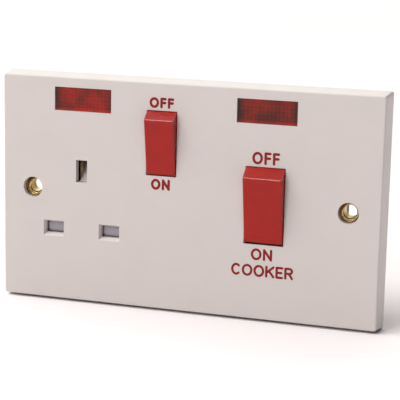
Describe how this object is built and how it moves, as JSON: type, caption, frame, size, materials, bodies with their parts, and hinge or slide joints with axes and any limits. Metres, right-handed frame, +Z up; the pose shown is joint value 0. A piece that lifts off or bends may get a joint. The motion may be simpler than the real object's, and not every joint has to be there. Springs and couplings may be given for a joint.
{
  "type": "cooker control unit",
  "caption": "Wall plate with a cooker isolating switch, a shuttered and switched socket outlet and neon indicators, on moulded bases with cable terminals behind.",
  "frame": {"origin": "centre of the two fixing holes in the plane of the wall", "axes": "+X to the right and +Z up as seen from the front, +Y into the wall"},
  "size_m": [0.146, 0.0365, 0.086],
  "materials": {
    "plate_moulding": "satin moulded urea",
    "red_plastic": "glossy moulded",
    "red_lens": "glossy translucent with prisms behind",
    "shutter_plastic": "matte moulded",
    "white_plastic": "matte moulded",
    "base_moulding": "matte phenolic",
    "lamp_glass": "clear",
    "lead_sleeve": "sleeved wire",
    "resistor_body": "matte coating",
    "brass": "pressed and machined",
    "copper": "pressed copper strip",
    "plated_steel": "bright zinc plate"
  },
  "bodies": {
    "unit": {"front_plate": "plate_moulding", "fixing_eyelet_left": "brass", "fixing_eyelet_right": "brass", "earth_strap_left": "brass", "earth_strap_right": "brass", "socket_neon_lens": "red_lens", "cooker_neon_lens": "red_lens", "socket_neon_retainer": "white_plastic", "cooker_neon_retainer": "white_plastic", "socket_neon_lamp": "lamp_glass", "cooker_neon_lamp": "lamp_glass", "socket_neon_live_lead": "lead_sleeve", "socket_neon_neutral_lead": "lead_sleeve", "cooker_neon_live_lead": "lead_sleeve", "cooker_neon_neutral_lead": "lead_sleeve", "socket_neon_resistor": "resistor_body", "cooker_neon_resistor": "resistor_body", "cooker_switch_base": "base_moulding", "socket_base": "base_moulding", "load_live_terminal": "brass", "load_neutral_terminal": "brass", "supply_live_terminal": "brass", "supply_neutral_terminal": "brass", "cooker_earth_terminal": "brass", "socket_earth_terminal": "brass", "terminal_screws": "brass", "base_screws": "plated_steel", "socket_live_contact": "brass", "socket_neutral_contact": "brass", "socket_earth_contact": "brass", "socket_live_link": "copper", "socket_neutral_link": "copper", "shutter_spring": "plated_steel"},
    "cooker_rocker": {"cooker_rocker": "red_plastic", "cooker_neutral_spring": "plated_steel", "cooker_live_spring": "plated_steel"},
    "socket_rocker": {"socket_rocker": "red_plastic", "socket_live_spring": "plated_steel"},
    "shutter": {"shutter": "shutter_plastic"},
    "cooker_neutral_plunger": {"cooker_neutral_plunger": "white_plastic"},
    "cooker_neutral_bar": {"cooker_neutral_bar": "copper"},
    "cooker_live_plunger": {"cooker_live_plunger": "white_plastic"},
    "cooker_live_bar": {"cooker_live_bar": "copper"},
    "socket_live_plunger": {"socket_live_plunger": "white_plastic"},
    "socket_live_bar": {"socket_live_bar": "copper"}
  },
  "joints": [
    {"name": "cooker_rocker_hinge", "type": "hinge", "parent": "unit", "child": "cooker_rocker", "pos_m": [0.02975, -0.0035, 0], "axis": [1, 0, 0], "range_deg": [-20, 0]},
    {"name": "socket_rocker_hinge", "type": "hinge", "parent": "unit", "child": "socket_rocker", "pos_m": [-0.00955, -0.0035, 0.01995], "axis": [1, 0, 0], "range_deg": [-20, 0]},
    {"name": "shutter_slide", "type": "slide", "parent": "unit", "child": "shutter", "axis": [0, 0, -1], "range_m": [0, 0.0052], "stiffness_N_per_m": 150, "springref_m": -0.004, "deforming": ["shutter_spring"]},
    {"name": "cooker_neutral_plunger_slide", "type": "slide", "parent": "cooker_rocker", "child": "cooker_neutral_plunger", "axis": [0, -0.9848, -0.1736], "range_m": [0, 0.0008], "stiffness_N_per_m": 600, "springref_m": -0.002, "deforming": ["cooker_neutral_spring"]},
    {"name": "cooker_neutral_bar_hinge", "type": "hinge", "parent": "unit", "child": "cooker_neutral_bar", "pos_m": [0.02575, 0.009, 0], "axis": [1, 0, 0], "range_deg": [0, 15]},
    {"name": "cooker_live_plunger_slide", "type": "slide", "parent": "cooker_rocker", "child": "cooker_live_plunger", "axis": [0, -0.9848, -0.1736], "range_m": [0, 0.0008], "stiffness_N_per_m": 600, "springref_m": -0.002, "deforming": ["cooker_live_spring"]},
    {"name": "cooker_live_bar_hinge", "type": "hinge", "parent": "unit", "child": "cooker_live_bar", "pos_m": [0.03375, 0.009, 0], "axis": [1, 0, 0], "range_deg": [0, 15]},
    {"name": "socket_live_plunger_slide", "type": "slide", "parent": "socket_rocker", "child": "socket_live_plunger", "axis": [0, -0.9848, -0.1736], "range_m": [0, 0.0008], "stiffness_N_per_m": 600, "springref_m": -0.002, "deforming": ["socket_live_spring"]},
    {"name": "socket_live_bar_hinge", "type": "hinge", "parent": "unit", "child": "socket_live_bar", "pos_m": [-0.00955, 0.009, 0.01995], "axis": [1, 0, 0], "range_deg": [0, 15]}
  ],
  "couplings": [
    {"joint": "cooker_neutral_bar_hinge", "follows": "cooker_rocker_hinge", "ratio": -0.75},
    {"joint": "cooker_live_bar_hinge", "follows": "cooker_rocker_hinge", "ratio": -0.75},
    {"joint": "socket_live_bar_hinge", "follows": "socket_rocker_hinge", "ratio": -0.75}
  ]
}
